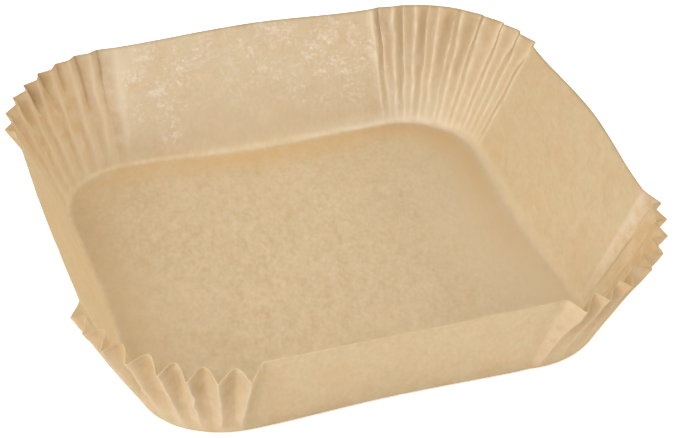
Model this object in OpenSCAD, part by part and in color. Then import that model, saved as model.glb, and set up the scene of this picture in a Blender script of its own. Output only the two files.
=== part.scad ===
// Square pleated paper liner for an air fryer basket.
// One sheet: a flat square base with rounded corners, four plain walls that
// lean outward, and pleated corners that take up the spare paper.
// Millimetres, +Z up. The underside of the base lies on Z = 0, its centre at
// the origin. The front wall faces -Y and the right wall faces +X.

/* [Base] */
// Width of the square base from fold to fold (mm)
base_w = 160; // [130:1:220]
// Radius of the rounded corners of the base (mm)
corner_r = 30; // [20:0.5:45]

/* [Walls] */
// Width of a wall measured up its slope from the base fold to the rim (mm)
wall_w = 44; // [25:0.5:60]
// Lean of the plain walls outward from upright (degrees)
wall_lean = 23.4; // [12:0.2:40]

/* [Base fold] */
// Radius of the fold between the base and the sides (mm)
fold_r = 3; // [1.5:0.1:6]
// How far the fold of the right wall comes inward in its middle (mm)
right_inset = 4.2; // [0:0.1:8]
// How far the fold of the rear wall comes inward in its middle (mm)
rear_inset = 3; // [0:0.1:8]
// How far the fold of the left wall comes inward in its middle (mm)
left_inset = 1; // [0:0.1:8]
// How far the fold of the front wall comes inward in its middle (mm)
front_inset = 0.5; // [0:0.1:8]

/* [Rim bow] */
// How far the rim of the right wall bows outward in its middle (mm)
right_bow = 1.6; // [-3:0.1:5]
// How far the rim of the rear wall bows outward in its middle (mm)
rear_bow = 0; // [-3:0.1:5]
// How far the rim of the left wall bows outward in its middle (mm)
left_bow = -0.2; // [-3:0.1:5]
// How far the rim of the front wall bows outward in its middle (mm)
front_bow = 0.2; // [-3:0.1:5]

/* [Pleats] */
// Number of outward pleats in each corner
pleats = 8; // [4:1:12]
// How much steeper the rear right corner stands in its middle (degrees)
rear_right_in = 0; // [0:0.1:8]
// How much steeper the rear left corner stands in its middle (degrees)
rear_left_in = 4; // [0:0.1:8]
// How much steeper the front left corner stands in its middle (degrees)
front_left_in = 0.4; // [0:0.1:8]
// How much steeper the front right corner stands in its middle (degrees)
front_right_in = 1.2; // [0:0.1:8]

// Roundness of the ridges that point inward, from 0 for straight facets to 1
ridge_round = 0.6; // [0:0.05:1]

/* [Paper] */
// Thickness of the paper (mm)
paper_t = 0.3; // [0.1:0.05:0.5]

/* [Hidden] */
kraft = [0.83, 0.74, 0.58];
// steps along each wall, across a pleat facet, around the base fold and up the wall
wall_cuts = 8;
facet_cuts = 2;
fold_cuts = 4;
rise_cuts = 3;
flat_half = base_w / 2 - corner_r;
step = 45 / pleats;
// where the base stops being flat in the corners, from the corner centre
inner_r = corner_r - fold_r * tan((90 - wall_lean) / 2);
// length of paper from the corner centre to the rim, the same all the way round
paper = inner_r + wall_w - fold_r * tan((90 - wall_lean) / 2)
    + fold_r * (90 - wall_lean) * PI / 180;
// width of one pleat facet at the rim, as it lies in the flat sheet
facet_w = 2 * paper * sin(step / 2);
insets = [right_inset, rear_inset, left_inset, front_inset];
bows = [right_bow, rear_bow, left_bow, front_bow];
corner_ins = [rear_right_in, rear_left_in, front_left_in, front_right_in];

// Spare paper of one facet at the rim when the corner is squeezed to radius r:
// the facet is the long side of a triangle, the squeezed chord a short side.
function gather(r) = sqrt(max(0, pow(facet_w, 2) - pow(2 * r * sin(step / 2), 2)));
// Angle between the lean of an inward and an outward crease that takes up the
// spare paper, found from the radius halfway between the two.
function swing(lean) =
    let (first = 2 * asin(gather(corner_r + wall_w * sin(lean)) / 2 / wall_w))
    2 * asin(gather(corner_r + wall_w * sin(lean + first / 2)) / 2 / wall_w);

function turned(x, y, quarter) =
    [x * cos(90 * quarter) - y * sin(90 * quarter), x * sin(90 * quarter) + y * cos(90 * quarter), 0];

// Where the base stops being flat when the fold comes in and the wall has this lean
function wall_start(inset, lean) = corner_r - inset - fold_r * tan((90 - lean) / 2);
// Lean that carries the paper left above the fold out to the rim, closer each turn
function wall_fit(rim, inset, lean, turns) = turns == 0 ? lean :
    let (start = wall_start(inset, lean), left = paper - start - fold_r * (90 - lean) * PI / 180)
    wall_fit(rim, inset, asin((rim - start - fold_r * cos(lean)) / left), turns - 1);

// A station is one line up the side: [centre, facing angle, start, inward lean,
// outward lean, share of the outward one]. Start is the distance from the centre to
// where the base stops being flat.
function wall_station(q, k) =
    let (
        across = 2 * k / wall_cuts - 1,
        swell = 1 - across * across,
        inset = insets[q] * swell,
        lean = wall_fit(corner_r + wall_w * sin(wall_lean) + bows[q] * swell, inset, wall_lean, 4)
    )
    [turned(flat_half, across * flat_half, q), 90 * q, wall_start(inset, lean), lean, lean, 0];

// Creases are counted from 0, even ones inward and odd ones outward. The share runs
// straight from ridge to ridge, or as an arch that is round at the inward one.
function corner_station(q, crease) =
    let (
        inward = wall_lean - corner_ins[q] * sin(2 * crease * step),
        away = abs(crease - 2 * round(crease / 2)),
        share = (1 - ridge_round) * away + ridge_round * (1 - cos(90 * away))
    )
    [turned(flat_half, flat_half, q), 90 * q + crease * step, inner_r,
        inward, inward + swing(inward), share];

// All the stations once round, anticlockwise from the front end of the right wall
stations = [for (q = [0:3]) each concat(
    [for (k = [1:wall_cuts - 1]) wall_station(q, k)],
    [for (k = [0:2 * pleats * facet_cuts]) corner_station(q, k / facet_cuts)])];
count = len(stations);

// Heights run 0 to 1 round the fold and 1 to 2 up the wall.
levels = concat([for (k = [0:fold_cuts]) k / fold_cuts], [for (k = [1:rise_cuts]) 1 + k / rise_cuts]);
top = len(levels) - 1;

// Point on a side of this lean: an arc of the fold radius up to the lean, then a
// straight line for whatever length of paper is left.
function side_point(s, lean, level) =
    let (
        bend = 90 - lean,
        b = min(level, 1) * bend,
        up = max(level - 1, 0) * (paper - s[2] - fold_r * bend * PI / 180),
        reach = s[2] + fold_r * sin(b) + up * sin(lean),
        rise = fold_r * (1 - cos(b)) + up * cos(lean)
    )
    s[0] + [reach * cos(s[1]), reach * sin(s[1]), paper_t / 2 + rise];
// Middle of the paper, mixed from the inward and the outward lean
function middle(s, level) =
    (1 - s[5]) * side_point(s, s[3], level) + s[5] * side_point(s, s[4], level);

grid = [for (v = levels) [for (s = stations) middle(s, v)]];

function unit(v) = v / norm(v);
// Direction from the middle of the paper to its outer face. It is set so that
// both facets beside a crease keep their full thickness.
function outward(i, j) =
    let (
        here = grid[j][i],
        climb = grid[min(j + 1, top)][i] - grid[max(j - 1, 0)][i],
        ahead = unit(cross(grid[j][(i + 1) % count] - here, climb)),
        behind = unit(cross(here - grid[j][(i + count - 1) % count], climb))
    )
    j == 0 ? [0, 0, -1] : (ahead + behind) / (1 + ahead * behind);

skin = [for (side = [1, -1]) each [for (j = [0:top]) each [for (i = [0:count - 1])
    grid[j][i] + side * paper_t / 2 * outward(i, j)]]];
inside = count * (top + 1);
under_mid = 2 * inside;
upper_mid = under_mid + 1;
points = concat(skin, [[0, 0, 0], [0, 0, paper_t]]);

faces = [for (i = [0:count - 1]) let (n = (i + 1) % count) each concat(
    [for (j = [0:top - 1]) let (a = j * count, b = a + count) each [
        [a + i, b + i, b + n], [a + i, b + n, a + n],
        [inside + a + i, inside + b + n, inside + b + i], [inside + a + i, inside + a + n, inside + b + n]]],
    [[top * count + i, inside + top * count + i, inside + top * count + n],
        [top * count + i, inside + top * count + n, top * count + n],
        [under_mid, i, n], [upper_mid, inside + n, inside + i]])];

// The folded sheet: base, walls and pleated corners in one piece
module liner() {
    color(kraft) polyhedron(points = points, faces = faces, convexity = 12);
}

liner();
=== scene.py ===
import math
import bpy
import numpy as np
from mathutils import Matrix, Vector


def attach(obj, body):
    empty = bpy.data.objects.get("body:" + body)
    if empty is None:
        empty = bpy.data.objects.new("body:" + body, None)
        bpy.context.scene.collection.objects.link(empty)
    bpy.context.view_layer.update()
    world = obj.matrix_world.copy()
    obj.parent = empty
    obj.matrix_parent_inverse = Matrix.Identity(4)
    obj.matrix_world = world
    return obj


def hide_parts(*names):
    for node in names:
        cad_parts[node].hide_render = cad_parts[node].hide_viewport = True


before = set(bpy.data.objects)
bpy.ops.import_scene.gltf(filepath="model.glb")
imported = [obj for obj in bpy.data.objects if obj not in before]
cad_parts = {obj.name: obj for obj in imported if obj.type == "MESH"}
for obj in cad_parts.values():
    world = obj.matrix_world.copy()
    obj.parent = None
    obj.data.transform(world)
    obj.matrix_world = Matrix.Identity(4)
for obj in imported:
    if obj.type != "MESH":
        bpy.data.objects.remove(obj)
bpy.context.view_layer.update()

print("frame loaded:", sorted(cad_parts))
rng = np.random.default_rng(41)


def toLinear(hexColour):
    # sRGB hex to linear: c/12.92 below 0.04045, else ((c + 0.055)/1.055)^2.4
    parts = [int(hexColour[i:i + 2], 16) / 255 for i in (1, 3, 5)]
    linear = [c / 12.92 if c <= 0.04045 else ((c + 0.055) / 1.055) ** 2.4 for c in parts]
    return (*linear, 1.0)


def addNode(tree, kind, values=None, links=None, **settings):
    # one node with its settings, its socket values and its incoming links
    node = tree.nodes.new("ShaderNode" + kind)
    for name, value in settings.items():
        setattr(node, name, value)
    for socket, value in (values or {}).items():
        node.inputs[socket].default_value = value
    for socket, source in (links or {}).items():
        tree.links.new(source, node.inputs[socket])
    return node


# metres of the flat sheet to one unit of its map
mapUnit = 0.250

# The folded sheet. The 16 ring controls run anticlockwise: right wall middle, rear
# right corner start, middle and end, rear wall middle, rear left corner, left wall
# middle, front left corner, front wall middle, front right corner. The creases of a
# corner are counted anticlockwise too, the even ones inward and the odd ones outward.
# A table of four rows holds the rear right, rear left, front left and front right
# corners. Levels run 0 to 1 round the base fold and 1 to 2 up the side.
liner = {
    "baseWidth": 0.160,  # fold to fold, metres
    "cornerRadius": 0.030,  # of the base
    "wallWidth": 0.044,  # up the slope
    "wallLean": 23.4,  # degrees out from upright
    "foldRadius": 0.003,  # plain bend of base to sides, which sets the paper the sides get
    "fold": [5.0, 4.5, 2.6, 2.2, 3.4, 2.4, 2.4, 3.0,
             4.0, 3.0, 2.5, 2.5, 3.0, 2.5, 2.5, 4.0],  # mm, the bend's real radius
    "inset": [4.2, 1.8, 3.0, 2.4, 3.4, 0.6, 0.3, 0.5,
              0.6, -0.5, -2.1, -1.7, 0, -0.8, -0.4, 3.6],  # mm the base fold comes inward
    "trim": [0.5, -0.3, -1.4, -2.2, -1.0, -0.4, -0.2, -0.1,
             0.1, -0.3, 0.2, 0.1, -0.1, -0.5, 0.1, -1.68],  # mm of extra paper up the side
    "lean": [1.0, 0.8, -0.4, -3.0, -0.3, -0.9, -3.6, -2.2,
             -0.3, -1.5, -0.4, -0.1, 0.2, -0.5, -1.4, -0.1],  # degrees more than wallLean
    "bow": [1.0, 0, 0, 0, -0.1, 0, 0, 0,
            -0.1, 0, 0, 0, 0.2, 0, 0, 0],  # mm out at the rim
    "skew": [0, 0, 0, 0, 0, 0, 0, 0, 0, 0, 0, 0,
             0, -1.5, -0.4, 0],  # how far creases stand aside at the base fold, in facets
    "thickness": 0.00024,  # metres, drawn thick enough for the cut edge to show

    "pleats": 8,  # outward pleats in a corner
    "creaseRadius": 0.05,  # rounding of every crease, in pleat facets
    "arch": [0.2, 0.6, 0.85, 0.6],  # how round each corner's inward ridges are
    "creaseLean": [  # degrees, crease by crease
        [0, -.6, 0, -1.3, 0, -.8, 0, .3, 0, .2, 0, 0, 0, 0, 0, 0, 0],
        [0, .3, 0, -.6, 0, -2.0, 0, -1.4, 0, -1.5, .1, -2.1, .2, -2.4, .6, -2.5, 0],
        [0, 0, 1.5, 0, -.7, 0, -.6, 0, -1.3, .3, -.3, 1.1, .4, 1.2, 1.3, 1.7, 0],
        [0, .9, .5, -.8, -.1, -1.2, 0, -.7, 0, -.3, 0, -.6, 0, -.4, 0, 0, 0]],
    "creaseTurn": [  # along the corner, in pleat facets
        [.03, .07, 0, .02, 0, -.19, 0, -.15, 0, -.11, 0, 0, 0, 0, 0, 0, -.09],
        [-.26, -.02, 0, -.12, 0, -.23, 0, -.35, 0, -.4, -.27, -.43, -.23, -.23, .41, -.01, 0],
        [.07, .18, -.17, 0, -.06, 0, -.1, 0, .04, .19, .02, .04, .01, -.07, .03, -.13, .03],
        [-.15, -.16, -.02, -.3, .04, -.28, -.04, .02, 0, .06, 0, .05, 0, 0, 0, -.03, .05]],
    "turnFade": 0.012,  # how far along a wall a turned crease is felt, metres
    "wander": [0.07, 0.06, 0.05, 0.01],  # how far the creases stray sideways, in facets
    "dent": 0.12,  # how much a pleat's depth varies on the way up
    "strayHeights": 8,  # heights of a crease at which it strays
    "strayFades": (0.2, 0.85),  # share of the height from which, and up to which, it does
    "pressed": [(0.6, 0.1), (0.15, 0.8), (0, 0), (0.1, 0.3)],  # flatness of first, last pleats
    "pressedTurn": (0.15, 0.6),  # where in a corner the first gives way to the last
    "pressedRise": (1.95, 1.6),  # levels between which they flatten, down from the rim
    "heldFacets": 1.5,  # facets at a corner's ends that pressing leaves on the walls

    "waves": [  # how many, longest and shortest, and height, all in metres
        (7, 0.110, 0.045, 0.00022), (9, 0.030, 0.014, 0.00005), (14, 0.013, 0.006, 0.00006)],
    "cornerWaves": 0.35,  # share of the two longer ones that the corners get
    "wallCrumple": 0.3,  # and of the shortest that the walls get
    "lift": (5, 0.160, 0.080, 0.0005),  # the same for the base, off the table
    "liftFade": 0.35,  # share of the way in from the base fold over which it sets in

    "wallLines": 34,  # evenly spread lines along a wall
    "wallEnds": [0.95, 0.98, 0.992],  # where they end, and the lines beyond them
    "facetLines": [0, 0.03, 0.08, 0.2, 0.4, 0.6, 0.8, 0.92, 0.97],
    "baseRows": [0.04, *np.linspace(0.12, 0.9, 12), 0.95, 0.98],  # share of the way out
    "foldRows": 9,
    "wallRows": [0.02, 0.05, 0.09, *np.linspace(0.14, 0.94, 17), 0.97, 0.99, 0.997, 1],

    "creaseWidth": [0.0013, 0.0018, 0.0016, 0.0010],  # half width of a crease's mark
    "ridgePale": [0.85, 0.4, 0.5, 0.25],  # how pale a ridge is worn
    "hollowPale": [0.7, 0.0, 0.1, 0.1],  # how pale its hollow side is
    "hollowShade": [0.0, 0.4, 0.6, 0.4],  # and how much painted shade darkens it
    "paintedFoldShade": [0.6, 0.9, 1, 0.9, 1, 0.7, 0.35, 0.4,
                 0.3, 0.3, 0.3, 0.2, 0.3, 0.3, 0.2, 0.2],  # painted shade and warm bounce on the base by its fold
    "foldPaleAndHighlight": [0.1, 0.3, 0.7, 0.8, 0.25, 0.12, 0.05, 0,
                 0, 0, 0, 0, 0, 0, 0, 0],  # how pale the fold is: its coating broken, and a painted highlight where the bend catches the light
    "paintedBaseLight": [0.9, 0.8, 0.5, 0, 0, 0, 0, 0,
                  0.4, 0.3, 0, 0, 0, 0.2, 0.8, 1],  # painted light: how much lighter the base is made that way
    "brownAndShade": [0.4, 0.4, 0.5, 0.75, 0.5, 0.7, 1, 1,
              0.5, 0.4, 0.4, 0.4, 0.4, 0.4, 0.6, 0.5],  # how brown the pleats are: scorched, and painted shade, most in the rear left corner
    "facetShade": [(1, 1), (1, 1), (0.4, 1.5), (0.7, 1.6)],  # share of even and odd facets, more painted shade on those that face away from the light
    "haze": [0.1, 0.1, 0.3, 0.8, 1, 0.9, 0.5, 0.5,
             0.1, 0, 0, 0, 0, 0, 0, 0.2],  # dull dry look of the inner face
    "cutShade": [1, 1, 1, 1, 1, 0.8, 0.5, 0.3,
                0.4, 0.2, 0, 0, 0.2, 0.2, 0.5, 0.7],  # how dark the cut edge is, in painted shade along the rim
    # place round the ring, share of the height, width, height, strength
    "palePatches": [  # smooth pale patches
        (14.97, 0.75, 0.07, 0.6, 0.8), (13.06, 0.6, 0.07, 0.8, 0.6),
        (5.05, 0.75, 0.25, 0.5, 0.6), (10.1, 0.7, 1.0, 0.6, 0.25)],
    "bloomAndGlint": [  # chalky patches, partly painted glints of the coating
        (3.2, 0.72, 0.32, 0.40, 1.1), (3.6, 0.88, 0.25, 0.22, 0.8),
        (4.0, 0.80, 0.35, 0.30, 0.7), (4.35, 0.92, 0.20, 0.20, 0.7),
        (4.62, 0.70, 0.20, 0.35, 0.8), (4.85, 0.60, 0.22, 0.40, 0.8),
        (4.66, 0.18, 0.12, 0.10, 0.9), (3.9, 0.40, 0.50, 0.25, 0.35),
        (3.4, 0.30, 0.25, 0.20, 0.45), (2.6, 0.15, 0.45, 0.16, 0.5),
        (2.5, 0.80, 0.60, 0.40, 0.25), (14.97, 0.60, 0.09, 0.70, 0.6)],
}


def around(controls, place):
    # periodic, eased run through the 16 controls: the share between two of them is
    # (1 - cos(pi f)) / 2, with f the way from one to the next
    values = np.asarray(controls, float)
    low = np.floor(place).astype(int)
    f = (1 - np.cos(np.pi * (place - low))) / 2
    return values[low % 16] * (1 - f) + values[(low + 1) % 16] * f


def ringLines(p):
    # the lines that run up the side, as arrays: evenly spread along the walls with a few
    # more near each end, and in every pleat facet closest together at its creases
    creases = 2 * p["pleats"]
    crease = np.append((np.arange(creases)[:, None] + p["facetLines"]).ravel(), creases)
    ends = np.array(p["wallEnds"])
    even = np.linspace(-ends[0], ends[0], p["wallLines"])
    wall = np.concatenate([-ends[:0:-1], even, ends[1:]])
    return {
        "quarter": np.repeat(np.arange(4), len(wall) + len(crease)),
        "crease": np.tile(np.concatenate([wall * 0, crease]), 4),
        "along": np.tile(np.concatenate([wall, np.ones(len(crease))]), 4),
        "inCorner": np.tile(np.repeat([False, True], [len(wall), len(crease)]), 4),
    }


def pleatShare(p, ring):
    # 0 at the inward creases and 1 at the outward ones. Away is the distance from the
    # inward crease in facets, with both its corners rounded by hyperbolas. It is mixed
    # with an arch, 1 - cos(pi away / 2), that is round at the inward crease.
    soft = p["creaseRadius"]
    top = math.sqrt(1 + soft * soft) - soft
    away = np.abs(ring["crease"] - 2 * np.round(ring["crease"] / 2))
    away = (np.sqrt(away ** 2 + soft ** 2) - soft) / top
    away = 1 - (np.sqrt((1 - away) ** 2 + soft ** 2) - soft) / top
    arch = np.array(p["arch"])[ring["quarter"]]
    return (1 - arch) * away + arch * (1 - np.cos(np.pi * away / 2))


def strays(p, ring, level):
    # Random values at a few heights of every crease, each crease with heights of its
    # own, eased by (1 - cos(pi f)) / 2 between them and straight from crease to crease;
    # they fade out at the base fold and at the rim
    creases = 2 * p["pleats"] + 1
    table = rng.normal(0, 1, (4, creases, p["strayHeights"] + 2))
    phase = rng.uniform(0, 1, (4, creases))
    height = np.clip(level - 1, 0, 1)[:, None]
    crease = np.minimum(ring["crease"], creases - 1.001)
    left = np.floor(crease).astype(int)
    g = crease - left
    quarter = ring["quarter"]

    def at(k):
        up = height * (p["strayHeights"] - 1) + phase[quarter, k]
        low = np.floor(up).astype(int)
        f = (1 - np.cos(np.pi * (up - low))) / 2
        return table[quarter, k, low] * (1 - f) + table[quarter, k, low + 1] * f

    stray = np.where(ring["inCorner"], at(left) * (1 - g) + at(left + 1) * g, 0)
    foot, crown = p["strayFades"]
    return stray * ease(0, foot, height) * ease(1, crown, height)


def sideSurface(p, ring, level):
    # Point at (line, level): an arc of the fold radius turns from flat to the lean, then
    # a straight runs on for the paper that is left. In the corners that is worked out
    # twice, for the inward and for the outward creases, and the surface is the mix of
    # the two by the share of pleatShare. The outward lean follows from the flat sheet: a
    # facet keeps its width there, so the spare paper swings out. It gives the points,
    # the same points on the flat sheet, and their distance to the nearest crease.
    quarter, crease, corner = ring["quarter"], ring["crease"], ring["inCorner"]
    place = 4 * quarter + np.where(corner, 1 + crease / p["pleats"], ring["along"])
    flatHalf = p["baseWidth"] / 2 - p["cornerRadius"]
    step = 45 / p["pleats"]
    slopeShare = math.tan(math.radians(90 - p["wallLean"]) / 2)
    innerRadius = p["cornerRadius"] - p["foldRadius"] * slopeShare
    sidePaper = (p["wallWidth"] - p["foldRadius"] * slopeShare
                 + p["foldRadius"] * math.radians(90 - p["wallLean"]))

    def perCorner(table, kept):
        known = np.arange(2 * p["pleats"] + 1)
        known = known[kept(known)]
        rows = [np.interp(crease, known, np.asarray(row, float)[known]) for row in table]
        return np.where(corner, np.choose(quarter, rows), 0)

    # beside a corner the wall's lines turn with its first crease, fading along the wall
    fadeEnd = np.exp(-(1 - ring["along"]) * flatHalf / p["turnFade"])
    fadeStart = np.exp(-(1 + ring["along"]) * flatHalf / p["turnFade"])
    firstTurn = np.array([row[0] for row in p["creaseTurn"]])[quarter]
    lastTurn = np.array([row[-1] for row in p["creaseTurn"]])[quarter - 1]
    turn = perCorner(p["creaseTurn"], lambda k: k >= 0)
    turn = np.where(corner, turn, firstTurn * fadeEnd + lastTurn * fadeStart)
    skews = np.array(p["skew"], float)
    firstSkew, lastSkew = skews[4 * quarter + 1], skews[4 * quarter - 1]
    skew = np.where(corner, around(skews, place), firstSkew * fadeEnd + lastSkew * fadeStart)
    turn = turn + skew * (1 - np.clip(level - 1, 0, 1))[:, None]
    stray = strays(p, ring, level) * np.array(p["wander"])[quarter]
    facing = np.radians(90 * quarter + (np.where(corner, crease, 0) + turn + stray) * step)
    flatFacing = np.radians(90 * quarter + np.where(corner, crease * step, 0))
    angle = np.radians(90 * quarter)
    centre = np.stack([
        flatHalf * np.cos(angle) - ring["along"] * flatHalf * np.sin(angle),
        flatHalf * np.sin(angle) + ring["along"] * flatHalf * np.cos(angle)], -1)

    fold = around(p["fold"], place) / 1000
    inset = around(p["inset"], place) / 1000
    paper = innerRadius + sidePaper + around(p["trim"], place) / 1000
    # the lean that carries the paper above the fold out to the rim, closer with each of
    # three turns
    rimLean = np.radians(p["wallLean"] + around(p["lean"], place))
    rimOut = p["cornerRadius"] + p["wallWidth"] * np.sin(rimLean) + around(p["bow"], place) / 1000
    lean = rimLean
    for _ in range(3):
        bend = np.pi / 2 - lean
        start = p["cornerRadius"] - inset - fold * np.tan(bend / 2)
        straight = paper - start - fold * bend
        lean = np.arcsin((rimOut - start - fold * np.sin(bend)) / straight)
    lean = np.degrees(lean)
    facetWidth = 2 * (innerRadius + sidePaper) * math.sin(math.radians(step) / 2)

    def swing(leanDegrees):
        radius = p["cornerRadius"] + p["wallWidth"] * np.sin(np.radians(leanDegrees))
        chord = 2 * radius * math.sin(math.radians(step) / 2)
        spare = np.sqrt(np.maximum(facetWidth ** 2 - chord ** 2, 0))
        return 2 * np.degrees(np.arcsin(spare / 2 / p["wallWidth"]))

    def rise(leanDegrees):
        bend = np.radians(90 - leanDegrees)
        b = np.minimum(level, 1)[:, None] * bend
        up = np.maximum(level - 1, 0)[:, None]
        straight = paper - start - fold * bend
        reach = start + fold * np.sin(b) + up * straight * np.cos(bend)
        height = fold * (1 - np.cos(b)) + up * straight * np.sin(bend)
        out = np.stack([np.cos(facing), np.sin(facing)], -1)
        flat = centre + reach[..., None] * out
        return np.concatenate([flat, height[..., None]], -1), start + fold * b + up * straight

    inward = lean + perCorner(p["creaseLean"], lambda k: k % 2 == 0)
    outward = lean + swing(lean + swing(lean) / 2)
    outward = outward + perCorner(p["creaseLean"], lambda k: k % 2 == 1)
    share = np.where(corner, pleatShare(p, ring), 0)
    depth = 1 + strays(p, ring, level) * p["dent"]
    firstFlat, lastFlat = np.array(p["pressed"])[quarter].T
    giveWay = ease(*p["pressedTurn"], crease / 2 / p["pleats"])
    flattened = firstFlat + (lastFlat - firstFlat) * giveWay
    depth = depth * (1 - flattened * ease(*p["pressedRise"], level[:, None]))
    # a flattened pleat lies halfway between the two, but a corner's ends stay on the walls
    creases, held = 2 * p["pleats"], p["heldFacets"]
    halfway = 0.5 * ease(0, held, crease) * ease(creases, creases - held, crease)
    share = (halfway + (share - halfway) * depth)[..., None] * corner[:, None]
    inner, flatReach = rise(inward)
    outer, _ = rise(np.where(corner, outward, inward))
    points = inner * (1 - share) + outer * share
    sheet = centre + flatReach[..., None] * np.stack([np.cos(flatFacing), np.sin(flatFacing)], -1)
    nearest = np.abs(crease - np.round(crease)) * math.radians(step) * flatReach
    wallEnd = (1 - np.abs(ring["along"])) * flatHalf + 0 * flatReach
    return points, sheet, np.where(corner, nearest, wallEnd)


def ripple(sheet, waves, longest, shortest):
    # a sum of sines of the flat sheet's own coordinates, each with its own direction,
    # wavelength and phase, scaled to stay about within plus and minus 1
    direction = rng.uniform(0, 2 * np.pi, waves)
    length = rng.uniform(shortest, longest, waves)
    phase = rng.uniform(0, 2 * np.pi, waves)
    wave = np.stack([np.cos(direction), np.sin(direction)]) * 2 * np.pi / length
    return np.sin(sheet @ wave + phase).sum(-1) / math.sqrt(waves)


def ease(low, high, x):
    # smoothstep: 3t^2 - 2t^3, with t the clamped way from low to high
    t = np.clip((x - low) / (high - low), 0, 1)
    return t * t * (3 - 2 * t)


def drawMarks(mesh, p, ring, points, level, toCrease):
    # The paper's marks and the light and shade painted on it, as point attributes that its
    # material reads. Each is a product of controls round the ring and of smoothsteps up the
    # side. A crease's mark is a bell, exp(-(d / w)^2), of the distance d to it, and a patch is
    # such a bell both ways.
    corner = ring["inCorner"]
    rows, lines = points.shape[:2]
    faceIn = np.repeat([0.0, 1.0], rows * lines)
    faceIn = np.append(faceIn, [0, 1])  # 1 on the inner face

    def both(values, centreValue):
        grid = np.broadcast_to(values, (rows, lines)).ravel()
        return np.concatenate([grid, grid, [centreValue, centreValue]])

    def attribute(name, values):
        layer = mesh.attributes.new(name, "FLOAT", "POINT")
        layer.data.foreach_set("value", np.asarray(values, np.float32))

    # the line along a crease grows wider towards the rim
    nearest = np.where(corner | (ring["along"] > 0), ring["quarter"], ring["quarter"] - 1)
    wide = np.array(p["creaseWidth"])[nearest] * (0.6 + 0.4 * ease(1, 2, level))
    line = np.exp(-(toCrease / wide) ** 2) * ease(0.3, 1.3, level)
    # a crease is a ridge on one side of the sheet and a hollow on the other
    outwardCrease = np.where(corner, np.round(ring["crease"]) % 2, 0)
    hollow = np.stack([1 - outwardCrease, outwardCrease])[:, None, :]
    ridgePale, hollowPale, hollowShade = (
        np.array(p[k])[nearest] for k in ("ridgePale", "hollowPale", "hollowShade"))
    pale = line * (ridgePale * (1 - hollow) + hollowPale * hollow)
    attribute("crease", np.append(pale.ravel(), [0, 0]))
    # painted shade along the hollow side of a crease
    attribute("hollow", np.append((line ** 2 * hollow * hollowShade).ravel(), [0, 0]))
    fromStart, fromEnd = ring["crease"], 2 * p["pleats"] - ring["crease"]
    pleated = np.where(corner, ease(0, 0.7, fromStart) * ease(0, 0.7, fromEnd), 0)
    attribute("pleated", both(pleated * ease(0.9, 1.2, level), 0))
    # distance up the paper from where the base begins to bend, in mm, minus on the base
    steps = np.linalg.norm(np.diff(points, axis=0), axis=-1)
    run = np.concatenate([np.zeros((1, lines)), np.cumsum(steps, 0)])
    run = (run - run[len(p["baseRows"])]) * 1000
    attribute("foldRun", both(run, run[0].min()))

    place = 4 * ring["quarter"] + np.where(corner, 1 + ring["crease"] / p["pleats"], ring["along"])
    for name in ("paintedFoldShade", "foldPaleAndHighlight", "paintedBaseLight"):
        attribute(name, both(around(p[name], place), 0) * faceIn)
    # painted shade: the facets that face away from the light get more brown
    even, odd = np.array(p["facetShade"])[ring["quarter"]].T
    facetShare = np.where(np.floor(ring["crease"]) % 2, odd, even)
    attribute("brownAndShade", both(pleated * around(p["brownAndShade"], place) * facetShare, 0))
    edge = np.clip((level - 1.985) / 0.012, 0, 1)  # only the last rows, at the rim
    attribute("cut", both(edge * around(p["cutShade"], place), 0))
    attribute("haze", both(around(p["haze"], place) * ease(0.7, 1.3, level), 0) * faceIn)
    for name in ("bloomAndGlint", "palePatches"):
        spread = np.zeros(level.shape)
        for where, height, width, tall, strength in p[name]:
            spread += strength * np.exp(
                -((place - where) / width) ** 2 - ((level - 1 - height) / tall) ** 2)
        attribute(name, both(np.clip(spread, 0, 1.2) * ease(0.8, 1.2, level), 0))


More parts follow.
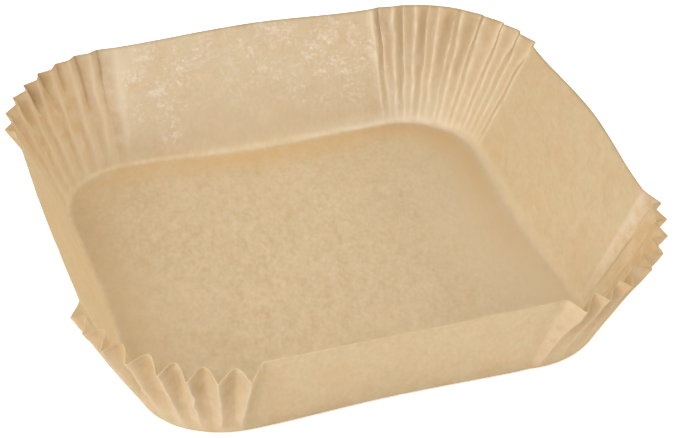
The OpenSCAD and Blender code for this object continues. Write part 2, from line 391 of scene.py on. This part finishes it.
def linerMesh(p):
    # Rows run from the middle of the base out to where it stops being flat, then round
    # the fold and up to the rim. The grid is the middle of the paper; each skin lies
    # half the thickness from it along the grid's own normal, which is the cross
    # product of its two differences.
    ring = ringLines(p)
    level = np.concatenate([np.linspace(0, 1, p["foldRows"]), 1 + np.array(p["wallRows"])])
    side, sheet, toCrease = sideSurface(p, ring, level)
    share = np.array(p["baseRows"])
    base = side[:1] * share[:, None, None]
    points = np.concatenate([base, side])
    flat = np.concatenate([base[..., :2], sheet])
    toCrease = np.concatenate([np.full((len(share), toCrease.shape[1]), 1.0), toCrease])
    level = np.concatenate([share - 1, level])[:, None] + 0 * toCrease
    corner = ring["inCorner"]

    def normals(grid):
        across = np.roll(grid, -1, 1) - np.roll(grid, 1, 1)
        upward = np.gradient(grid, axis=0)
        n = np.cross(across, upward)
        return n / np.linalg.norm(n, axis=-1, keepdims=True)

    # the sides are never quite flat, least so towards the rim
    longWave, shortWave, crumple = (ripple(flat, *row[:3]) * row[3] for row in p["waves"])
    wave = (longWave + shortWave) * np.where(corner, p["cornerWaves"], 1.0)
    crumple = crumple * np.where(corner, 1.0, p["wallCrumple"])
    shift = wave * ease(0.6, 2, level) + crumple * ease(0.8, 1.3, level)
    points = points + normals(points) * shift[..., None]
    # the base lifts a little off the table between its edges
    liftHeight = p["lift"][3]
    lift = (0.5 + 0.5 * ripple(flat, *p["lift"][:3])) * liftHeight
    points[..., 2] += np.clip(lift, 0, 2 * liftHeight) * ease(0, -p["liftFade"], level)

    half = p["thickness"] / 2
    points[..., 2] += half
    out = normals(points)
    out[level <= 0] = (0, 0, -1)
    skins = [points + half * out, points - half * out]
    rows, lines = points.shape[:2]
    middle = points[0].mean(0)
    vertices = np.concatenate([
        skins[0].reshape(-1, 3), skins[1].reshape(-1, 3),
        [middle - (0, 0, half), middle + (0, 0, half)]])

    j, i = np.meshgrid(np.arange(rows - 1), np.arange(lines), indexing="ij")
    n = (i + 1) % lines
    above = (j + 1) * lines
    outerQuads = np.stack([j * lines + i, j * lines + n, above + n, above + i], -1)
    inside = rows * lines
    innerQuads = outerQuads[..., ::-1] + inside
    i = np.arange(lines)
    n = (i + 1) % lines
    top = (rows - 1) * lines
    rimQuads = np.stack([top + i, top + n, inside + top + n, inside + top + i], -1)
    quads = np.concatenate([outerQuads.reshape(-1, 4), innerQuads.reshape(-1, 4), rimQuads])
    fans = np.concatenate([
        np.stack([np.full(lines, 2 * inside), n, i], -1),
        np.stack([np.full(lines, 2 * inside + 1), inside + i, inside + n], -1)])

    mesh = bpy.data.meshes.new("liner_sheet")
    mesh.from_pydata(vertices.tolist(), [], quads.tolist() + fans.tolist())
    mesh.polygons.foreach_set("use_smooth", np.ones(len(mesh.polygons), bool))

    drawMarks(mesh, p, ring, points, level, toCrease)
    sheetMap = mesh.uv_layers.new(name="sheet")
    flatAll = np.concatenate([flat.reshape(-1, 2), flat.reshape(-1, 2), [[0, 0], [0, 0]]])
    loopPoints = np.zeros(len(mesh.loops), int)
    mesh.loops.foreach_get("vertex_index", loopPoints)
    onMap = flatAll[loopPoints] / mapUnit + 0.5
    sheetMap.uv.foreach_set("vector", onMap.astype(np.float32).ravel())
    mesh.validate()
    print("sheet:", len(vertices), "points,", 2 * len(quads) + len(fans), "triangles")
    return mesh


sheetObject = bpy.data.objects.new("liner_sheet", linerMesh(liner))
bpy.context.scene.collection.objects.link(sheetObject)

# Unbleached baking paper: wood fibres pressed thin, coated with silicone and stamped
# in a hot die. It looks matt with a faint satin, mottled where the fibres lie thicker,
# and warm where light comes through it. A fold that breaks the coating turns chalky.
# Some of its colours are painted light: light and shade on the base by its fold, a highlight on the
# fold's bend, shade in the pleats, in hollow creases and on the cut edge, and glints on the coating.
paper = {
    "pale": "#e0ceb0",  # between the fibres
    "thick": "#c9b28b",  # where the fibres lie thick
    "resin": "#d8b383",  # the redder parts of its hue
    "straw": "#d4c7a0",  # and the greener ones
    "brownedAndShaded": "#c29a64",  # pleats scorched by the hot die, and painted shade in them
    "hollow": "#b78d57",  # painted shade at the bottom of a hollow crease
    "paintedShadeWarm": "#deb57a",  # painted shade and warm bounce on the base beside its fold
    "lighter": "#eed9b4",  # painted light on the base towards the lit sides
    "foldBreakAndHighlight": "#f2e7d2",  # coating broken at the base fold, and a painted highlight on the bend
    "creasePale": "#f6ecd5",  # and at the creases
    "dry": "#e4dccb",  # rubbed
    "dull": "#c6baa6",  # greyer inner face
    "chalkAndGlint": "#efe6e0",  # bloom of the coating, and painted glints
    "bark": "#7d5c34",  # dark bits left in the pulp
    # painted shade along the cut edge
    "cutEdgeShade": "#947a50",
    "glow": "#ecdfc6",  # light that comes through
    "glowShare": 0.42,
    "roughness": 0.55,
    "ior": 1.5,
    "specular": 0.35,
    "patterns": {  # size in mm, drawn out by, in degrees from the front edge, detail, roughness
        "cloud": (15, 1.5, 80, 3.0, 0.6),  # clouds in the pulp
        "patch": (3.8, 1.5, 80, 2.0, 0.55),  # thicker and thinner places
        "clump": (1.5, 1.6, 75, 1.5, 0.55),  # clumps of fibre, drawn coarser to show
        "fibreOne": (2.4, 3.0, 62, 2.0, 0.6),  # single fibres, drawn coarser to show
        "fibreTwo": (2.2, 2.8, 118, 2.0, 0.6),  # and those that cross them
        "hue": (3.4, 1.5, 80, 2.0, 0.6),
        "wideHue": (9, 1.5, 80, 2.0, 0.5),
        "blotch": (13, 1.0, 0, 3.0, 0.6),
        "brownPatch": (5, 1.0, 0, 3.0, 0.65),
        "break": (5, 1.0, 0, 2.0, 0.6),  # how far a fold broke the coating
        "bloomPatch": (8, 1.0, 0, 2.0, 0.6),
        "fleck": (2.1, 1.0, 0, 1.5, 0.5),
        "fineFleck": (1.0, 1.0, 0, 0.5, 0.5),
        "smear": (3.6, 1.0, 0, 2.5, 0.65),
    },
    # what makes the paper lighter and darker, and the range of it from thick to pale
    "tone": {"cloud": 0.13, "patch": 0.28, "clump": 0.33, "fibreOne": 0.13, "fibreTwo": 0.13},
    "toneRange": (0.37, 0.63),
    "layers": [  # colour, its share, and what it follows from where to where
        ("resin", 0.24, [("hue", 0.50, 0.68)]),
        ("straw", 0.24, [("hue", 0.50, 0.32)]),
        ("resin", 0.28, [("wideHue", 0.48, 0.66), ("foldRun", -20, 6)]),
        ("straw", 0.34, [("wideHue", 0.50, 0.34), ("foldRun", -20, 6)]),
        # painted light on the base beside its fold, where the walls shade it
        ("lighter", 0.75, [("foldRun", -40, -4), ("foldRun", 7, -3), ("paintedBaseLight", 0, 1)]),
        # painted shade and warm bounce on the base just inside its fold
        ("paintedShadeWarm", 0.60, [("foldRun", -18, -4), ("foldRun", 0.5, -3.0),
                          ("blotch", 0.13, 0.50), ("paintedFoldShade", 0, 1)]),
        # scorching and painted shade in the pleats
        ("brownedAndShaded", 0.95, [("brownPatch", 0.30, 0.60), ("foldRun", 0, 22), ("brownAndShade", 0, 1)]),
        ("dry", 0.22, [("foldRun", 34, 6), ("brownPatch", 0.70, 0.30), ("pleated", 0, 1)]),
        ("dull", 0.70, [("brownPatch", 1.10, 0.30), ("haze", 0, 1)]),
        ("dry", 0.65, [("brownPatch", 0.66, 0.36), ("palePatches", 0, 1)]),
        # painted shade in the hollow of a crease
        ("hollow", 0.65, [("brownPatch", 0.10, 0.60), ("hollow", 0, 1)]),
        ("creasePale", 0.85, [("break", 0.22, 0.62), ("crease", 0, 1)]),
        # broken coating and a painted highlight along the bend of the base fold
        ("foldBreakAndHighlight", 0.85, [("foldRun", -1.0, 1.0), ("foldRun", 6.5, 1.5),
                          ("break", 0.15, 0.55), ("foldPaleAndHighlight", 0, 1)]),
        # chalky bloom and painted glints of the coating
        ("chalkAndGlint", 0.42, [("smear", 0.50, 0.64), ("bloomPatch", 0.40, 0.56), ("bloomAndGlint", 0, 1)]),
        ("chalkAndGlint", 0.60, [("fleck", 0.54, 0.66), ("bloomPatch", 0.44, 0.60), ("bloomAndGlint", 0, 1)]),
        ("chalkAndGlint", 0.45, [("fineFleck", 0.58, 0.72), ("bloomPatch", 0.32, 0.50), ("bloomAndGlint", 0, 1)]),
        ("bark", 0.55, [("barkDistance", 0.022, 0.010), ("barkKept", 0.60, 0.62)]),
        # painted shade along the cut edge at the rim
        ("cutEdgeShade", 0.80, [("cut", 0, 1)]),
    ],
    "barkSpacing": 25,  # mm between the dark bits of bark
    "relief": {"clump": 0.6, "fibreOne": 0.2, "fibreTwo": 0.2},
    "reliefDepth": 0.00025,  # metres
    "reliefStrength": 0.10,
}


def paperMaterial(p):
    # Every pattern reads the map of the flat sheet, so a pattern of s mm has the scale
    # mapUnit / s. A layer's share is the product of what it follows, each ranged from 0
    # to 1 between its two values.
    material = bpy.data.materials.new("unbleached_baking_paper")
    material.use_nodes = True
    tree = material.node_tree
    tree.nodes.clear()
    unit = 1000 * mapUnit  # mm
    sheet = addNode(tree, "UVMap", uv_map="sheet").outputs["UV"]

    field = {}
    for name in ("crease", "hollow", "pleated", "brownAndShade", "foldRun", "paintedFoldShade", "foldPaleAndHighlight",
                 "paintedBaseLight", "cut", "haze", "bloomAndGlint", "palePatches"):
        field[name] = addNode(tree, "Attribute", attribute_name=name).outputs["Fac"]
    for name, (size, drawn, turn, detail, roughness) in p["patterns"].items():
        drawnOut = {"Rotation": (0, 0, math.radians(turn)), "Scale": (drawn, 1, 1)}
        turned = addNode(tree, "Mapping", drawnOut, {"Vector": sheet}, vector_type="TEXTURE")
        noise = {"Scale": unit / size, "Detail": detail, "Roughness": roughness}
        field[name] = addNode(tree, "TexNoise", noise, {"Vector": turned.outputs[0]}).outputs[0]
    bark = addNode(tree, "TexVoronoi", {"Scale": unit / p["barkSpacing"]}, {"Vector": sheet})
    barkChance = addNode(tree, "SeparateColor", None, {"Color": bark.outputs["Color"]})
    field["barkDistance"] = bark.outputs["Distance"]
    field["barkKept"] = barkChance.outputs[0]

    for mixed in ("tone", "relief"):
        total = None
        for name, weight in p[mixed].items():
            links = {0: field[name]} if total is None else {0: field[name], 2: total.outputs[0]}
            total = addNode(tree, "Math", {1: weight}, links,
                            operation="MULTIPLY" if total is None else "MULTIPLY_ADD")
        field[mixed] = total.outputs[0]

    low, high = p["toneRange"]
    light = addNode(tree, "MapRange", {"From Min": low, "From Max": high}, {"Value": field["tone"]})
    colour = addNode(tree, "Mix", {6: toLinear(p["thick"]), 7: toLinear(p["pale"])},
                     {0: light.outputs[0]}, data_type="RGBA").outputs[2]
    for over, most, follows in p["layers"]:
        share = None
        for name, low, high in follows:
            limits = {"From Min": low, "From Max": high, "To Max": 1.0 if share else most}
            ranged = addNode(tree, "MapRange", limits, {"Value": field[name]})
            if share is None:
                share = ranged
            else:
                product = {0: share.outputs[0], 1: ranged.outputs[0]}
                share = addNode(tree, "Math", None, product, operation="MULTIPLY")
        colour = addNode(tree, "Mix", {7: toLinear(p[over])}, {0: share.outputs[0], 6: colour},
                         data_type="RGBA").outputs[2]

    bump = addNode(tree, "Bump", {"Strength": p["reliefStrength"], "Distance": p["reliefDepth"]},
                   {"Height": field["relief"]})
    satin = {"Roughness": p["roughness"], "IOR": p["ior"], "Specular IOR Level": p["specular"]}
    shader = addNode(tree, "BsdfPrincipled", satin, {"Base Color": colour, "Normal": bump.outputs[0]})
    through = addNode(tree, "BsdfTranslucent", {"Color": toLinear(p["glow"])},
                      {"Normal": bump.outputs[0]})
    surface = addNode(tree, "MixShader", {0: p["glowShare"]},
                      {1: shader.outputs[0], 2: through.outputs[0]})
    addNode(tree, "OutputMaterial", None, {"Surface": surface.outputs[0]})
    return material


sheetObject.data.materials.append(paperMaterial(paper))
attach(sheetObject, "root")
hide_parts("liner")
print("paper dressed")

# Pale studio floor and soft boxes on all sides, the main one in front on the left
studio = {
    "floorSize": 6.0,
    "floorColour": "#f6f5f2",
    "floorLift": 0.34,  # light added for the camera, so that the floor looks white
    "floorDrop": 0.0001,  # just under the paper
    "worldColour": "#ffffff",
    "worldStrength": 0.155,
    "lampSize": 0.9,
    "lampDistance": 1.5,
    "cool": "#fafcff",
    "warm": "#fffaef",  # as bounced off the room
    "lamps": [  # name, colour, degrees from the front round to the left, degrees up, watts
        ("key", "cool", 45, 30, 14.2),
        ("high", "cool", 45, 55, 10.1),
        ("left", "cool", 90, 30, 2.6),
        ("front", "warm", -55, 25, 4.3),
        ("right", "warm", -87, 30, 9.8),
        ("rightHigh", "warm", -90, 55, 6.9),
        ("back", "cool", -155, 48, 3.6)],
}


def floorMaterial(p):
    # matt painted board; to the camera and in gloss it is lifted to white, and the
    # object's shadow stays on it
    material = bpy.data.materials.new("studio_floor")
    material.use_nodes = True
    tree = material.node_tree
    tree.nodes.clear()
    matt = addNode(tree, "BsdfDiffuse", {"Color": toLinear(p["floorColour"])})
    lift = addNode(tree, "Emission", {"Color": (1, 1, 1, 1), "Strength": p["floorLift"]})
    lifted = addNode(tree, "AddShader", None, {0: matt.outputs[0], 1: lift.outputs[0]})
    path = addNode(tree, "LightPath")
    rays = {0: path.outputs["Is Camera Ray"], 1: path.outputs["Is Glossy Ray"]}
    seen = addNode(tree, "Math", None, rays, operation="MAXIMUM")
    surface = addNode(tree, "MixShader", None,
                      {0: seen.outputs[0], 1: matt.outputs[0], 2: lifted.outputs[0]})
    addNode(tree, "OutputMaterial", None, {"Surface": surface.outputs[0]})
    return material


reach = studio["floorSize"] / 2
floorCorners = [(-reach, -reach, 0), (reach, -reach, 0), (reach, reach, 0), (-reach, reach, 0)]
floorMesh = bpy.data.meshes.new("floor")
floorMesh.from_pydata(floorCorners, [], [(0, 1, 2, 3)])
floor = bpy.data.objects.new("floor", floorMesh)
floor.location.z = -studio["floorDrop"]
floorMesh.materials.append(floorMaterial(studio))
bpy.context.scene.collection.objects.link(floor)

world = bpy.data.worlds.new("studio")
bpy.context.scene.world = world
world.use_nodes = True
background = world.node_tree.nodes["Background"]
background.inputs["Color"].default_value = toLinear(studio["worldColour"])
background.inputs["Strength"].default_value = studio["worldStrength"]


def softLamp(p, name, colour, azimuth, elevation, power):
    # a disk that faces the object from its azimuth and elevation
    lamp = bpy.data.lights.new(name, "AREA")
    lamp.shape = "DISK"
    lamp.size = p["lampSize"]
    lamp.energy = power
    lamp.color = toLinear(p[colour])[:3]
    light = bpy.data.objects.new(name, lamp)
    azimuth, elevation = math.radians(azimuth), math.radians(elevation)
    away = Vector((-math.sin(azimuth) * math.cos(elevation),
                   -math.cos(azimuth) * math.cos(elevation), math.sin(elevation)))
    light.rotation_euler = away.to_track_quat("Z", "Y").to_euler()
    light.location = away * p["lampDistance"]
    bpy.context.scene.collection.objects.link(light)


for lampRow in studio["lamps"]:
    softLamp(studio, *lampRow)
print("studio lit")

# The camera stands where the photograph was taken from: its azimuth is counted from
# straight in front towards the right, and the target lies on the table.
view = {
    "azimuth": -18.66,  # degrees
    "elevation": 34.80,
    "roll": 0.41,
    "distance": 0.8202,  # metres
    "target": (0.01374, 0.02145, 0.0),
    "focalPixels": 2274,
    "imageWidth": 680,
    "sensor": 36.0,  # mm
    "nearest": 0.01,  # metres
}


def placeCamera(p):
    azimuth, elevation, roll = (math.radians(p[k]) for k in ("azimuth", "elevation", "roll"))
    back = np.array([math.sin(azimuth) * math.cos(elevation),
                     -math.cos(azimuth) * math.cos(elevation), math.sin(elevation)])
    right = np.array([math.cos(azimuth), math.sin(azimuth), 0.0])
    up = np.cross(back, right)
    rightRolled = math.cos(roll) * right + math.sin(roll) * up
    upRolled = math.cos(roll) * up - math.sin(roll) * right
    place = np.array(p["target"]) + back * p["distance"]
    lens = bpy.data.cameras.new("camera")
    lens.sensor_fit = "HORIZONTAL"
    lens.sensor_width = p["sensor"]
    lens.lens = p["sensor"] * p["focalPixels"] / p["imageWidth"]
    lens.clip_start = p["nearest"]
    camera = bpy.data.objects.new("camera", lens)
    columns = np.eye(4)
    columns[:3] = np.stack([rightRolled, upRolled, back, place], -1)
    camera.matrix_world = Matrix(columns.tolist())
    bpy.context.scene.collection.objects.link(camera)
    bpy.context.scene.camera = camera


placeCamera(view)
bpy.context.scene.view_settings.view_transform = "Standard"
print("camera placed")
